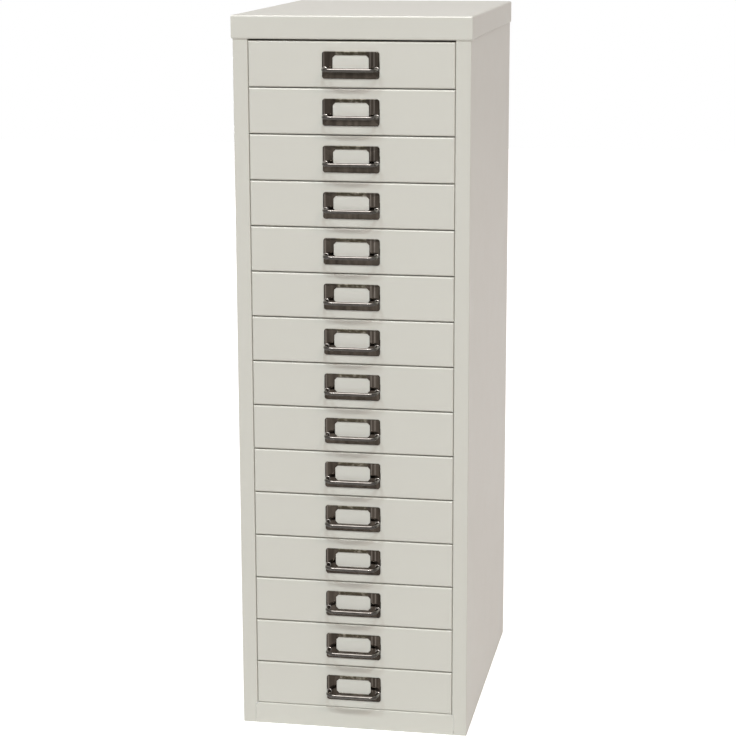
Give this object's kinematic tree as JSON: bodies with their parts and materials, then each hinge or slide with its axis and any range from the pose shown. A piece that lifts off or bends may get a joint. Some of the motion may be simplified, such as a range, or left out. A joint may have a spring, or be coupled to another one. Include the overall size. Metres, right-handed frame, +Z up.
{
  "type": "multi-drawer cabinet",
  "caption": "Tall narrow floor-standing sheet-steel cabinet with a column of shallow drawers, each with a dark bow pull and a label window.",
  "frame": {"origin": "on the floor, at the middle of the whole outline with its pulls", "axes": "+Z up, +Y to the back, +X to the right of someone facing the drawers"},
  "size_m": [0.279, 0.3992, 0.86],
  "materials": {
    "enamel": "satin warm light-grey enamel",
    "inner_enamel": "thin satin enamel",
    "pull_metal": "polished dark nickel",
    "nylon": "moulded natural nylon",
    "card": "plain card"
  },
  "bodies": {
    "carcass": {"top_cap": "enamel", "left_side_panel": "enamel", "right_side_panel": "enamel", "back_panel": "enamel", "base_pan": "enamel", "left_runner_rack": "inner_enamel", "right_runner_rack": "inner_enamel", "left_glides": "nylon", "right_glides": "nylon"},
    "drawer_01": {"drawer_01_tray": "enamel", "drawer_01_pull": "pull_metal", "drawer_01_label": "card"},
    "drawer_02": {"drawer_02_tray": "enamel", "drawer_02_pull": "pull_metal", "drawer_02_label": "card"},
    "drawer_03": {"drawer_03_tray": "enamel", "drawer_03_pull": "pull_metal", "drawer_03_label": "card"},
    "drawer_04": {"drawer_04_tray": "enamel", "drawer_04_pull": "pull_metal", "drawer_04_label": "card"},
    "drawer_05": {"drawer_05_tray": "enamel", "drawer_05_pull": "pull_metal", "drawer_05_label": "card"},
    "drawer_06": {"drawer_06_tray": "enamel", "drawer_06_pull": "pull_metal", "drawer_06_label": "card"},
    "drawer_07": {"drawer_07_tray": "enamel", "drawer_07_pull": "pull_metal", "drawer_07_label": "card"},
    "drawer_08": {"drawer_08_tray": "enamel", "drawer_08_pull": "pull_metal", "drawer_08_label": "card"},
    "drawer_09": {"drawer_09_tray": "enamel", "drawer_09_pull": "pull_metal", "drawer_09_label": "card"},
    "drawer_10": {"drawer_10_tray": "enamel", "drawer_10_pull": "pull_metal", "drawer_10_label": "card"},
    "drawer_11": {"drawer_11_tray": "enamel", "drawer_11_pull": "pull_metal", "drawer_11_label": "card"},
    "drawer_12": {"drawer_12_tray": "enamel", "drawer_12_pull": "pull_metal", "drawer_12_label": "card"},
    "drawer_13": {"drawer_13_tray": "enamel", "drawer_13_pull": "pull_metal", "drawer_13_label": "card"},
    "drawer_14": {"drawer_14_tray": "enamel", "drawer_14_pull": "pull_metal", "drawer_14_label": "card"},
    "drawer_15": {"drawer_15_tray": "enamel", "drawer_15_pull": "pull_metal", "drawer_15_label": "card"}
  },
  "joints": [
    {"name": "drawer_01_slide", "type": "slide", "parent": "carcass", "child": "drawer_01", "axis": [0, -1, 0], "range_m": [0, 0.29]},
    {"name": "drawer_02_slide", "type": "slide", "parent": "carcass", "child": "drawer_02", "axis": [0, -1, 0], "range_m": [0, 0.29]},
    {"name": "drawer_03_slide", "type": "slide", "parent": "carcass", "child": "drawer_03", "axis": [0, -1, 0], "range_m": [0, 0.29]},
    {"name": "drawer_04_slide", "type": "slide", "parent": "carcass", "child": "drawer_04", "axis": [0, -1, 0], "range_m": [0, 0.29]},
    {"name": "drawer_05_slide", "type": "slide", "parent": "carcass", "child": "drawer_05", "axis": [0, -1, 0], "range_m": [0, 0.29]},
    {"name": "drawer_06_slide", "type": "slide", "parent": "carcass", "child": "drawer_06", "axis": [0, -1, 0], "range_m": [0, 0.29]},
    {"name": "drawer_07_slide", "type": "slide", "parent": "carcass", "child": "drawer_07", "axis": [0, -1, 0], "range_m": [0, 0.29]},
    {"name": "drawer_08_slide", "type": "slide", "parent": "carcass", "child": "drawer_08", "axis": [0, -1, 0], "range_m": [0, 0.29]},
    {"name": "drawer_09_slide", "type": "slide", "parent": "carcass", "child": "drawer_09", "axis": [0, -1, 0], "range_m": [0, 0.29]},
    {"name": "drawer_10_slide", "type": "slide", "parent": "carcass", "child": "drawer_10", "axis": [0, -1, 0], "range_m": [0, 0.29]},
    {"name": "drawer_11_slide", "type": "slide", "parent": "carcass", "child": "drawer_11", "axis": [0, -1, 0], "range_m": [0, 0.29]},
    {"name": "drawer_12_slide", "type": "slide", "parent": "carcass", "child": "drawer_12", "axis": [0, -1, 0], "range_m": [0, 0.29]},
    {"name": "drawer_13_slide", "type": "slide", "parent": "carcass", "child": "drawer_13", "axis": [0, -1, 0], "range_m": [0, 0.29]},
    {"name": "drawer_14_slide", "type": "slide", "parent": "carcass", "child": "drawer_14", "axis": [0, -1, 0], "range_m": [0, 0.29]},
    {"name": "drawer_15_slide", "type": "slide", "parent": "carcass", "child": "drawer_15", "axis": [0, -1, 0], "range_m": [0, 0.29]}
  ]
}
